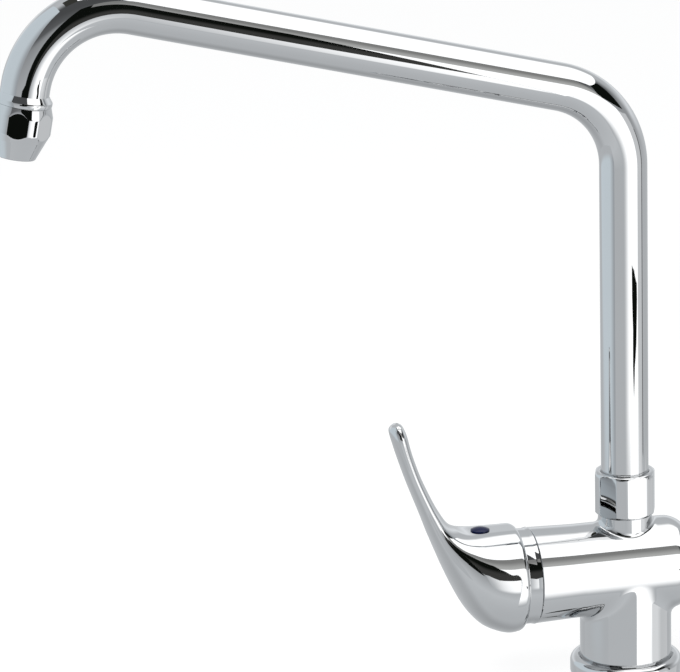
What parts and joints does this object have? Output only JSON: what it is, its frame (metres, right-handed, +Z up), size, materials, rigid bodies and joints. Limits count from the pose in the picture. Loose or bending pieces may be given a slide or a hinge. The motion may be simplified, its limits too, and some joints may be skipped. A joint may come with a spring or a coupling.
{
  "type": "kitchen mixer tap",
  "caption": "Single lever kitchen mixer tap with a horizontal barrel body, a tall swivelling tube spout, a union nut, a cone aerator and a worktop fixing.",
  "frame": {"origin": "on the worktop at the centre of the tap hole", "axes": "+Z up along the stem and the spout's riser, -Y forward along the lever and the spout"},
  "size_m": [0.052, 0.3233, 0.4078],
  "materials": {
    "chrome_casting": "mirror chrome plate on brass",
    "chrome_tube": "mirror chrome plate on brass",
    "chrome_nut": "mirror chrome plate on brass",
    "chrome_trim": "mirror chrome plate on brass",
    "chrome_lever": "mirror chrome plate on brass",
    "brass": "machined brass",
    "rubber": "moulded black rubber",
    "zinc_steel": "zinc plated steel",
    "stainless": "plain stainless steel",
    "ceramic": "lapped alumina",
    "white_plastic": "moulded acetal",
    "grey_plastic": "moulded grey plastic",
    "index_button": "glossy two colour plug"
  },
  "bodies": {
    "body": {"tap_body": "chrome_casting", "base_flange": "chrome_trim", "base_gasket": "rubber", "fixing_stud": "zinc_steel", "fixing_pad": "rubber", "fixing_bracket": "zinc_steel", "fixing_nut": "zinc_steel", "spout_nut": "chrome_nut", "slip_ring": "white_plastic", "cartridge_base": "grey_plastic", "port_seals": "rubber", "fixed_disc": "ceramic", "cartridge_housing": "grey_plastic", "retaining_nut": "brass", "dress_collar": "chrome_trim"},
    "spout": {"spout_tube": "chrome_tube", "spout_tail": "brass", "tail_o_rings": "rubber", "outlet_ferrule": "chrome_trim", "aerator_housing": "chrome_nut", "aerator_washer": "rubber", "aerator_insert": "white_plastic", "aerator_screen": "stainless"},
    "carrier": {"spindle_turret": "white_plastic", "pivot_pin": "stainless"},
    "lever": {"lever": "chrome_lever", "spindle": "brass", "grub_screw": "stainless", "index_button": "index_button"},
    "disc": {"moving_disc": "ceramic", "disc_driver": "white_plastic"}
  },
  "joints": [
    {"name": "spout_swivel", "type": "hinge", "parent": "body", "child": "spout", "pos_m": [0, 0, 0.09], "axis": [0, 0, 1], "continuous": true},
    {"name": "temperature_turn", "type": "hinge", "parent": "body", "child": "carrier", "pos_m": [0, -0.0425, 0.0527], "axis": [0, -1, 0], "range_deg": [-45, 45]},
    {"name": "flow_lift", "type": "hinge", "parent": "carrier", "child": "lever", "pos_m": [0, -0.0425, 0.0527], "axis": [1, 0, 0], "range_deg": [0, 22]},
    {"name": "disc_slide", "type": "slide", "parent": "carrier", "child": "disc", "axis": [0, 0, 1], "range_m": [0, 0.00497]}
  ],
  "couplings": [
    {"joint": "disc_slide", "follows": "flow_lift", "m_per_rad": 0.01292}
  ]
}
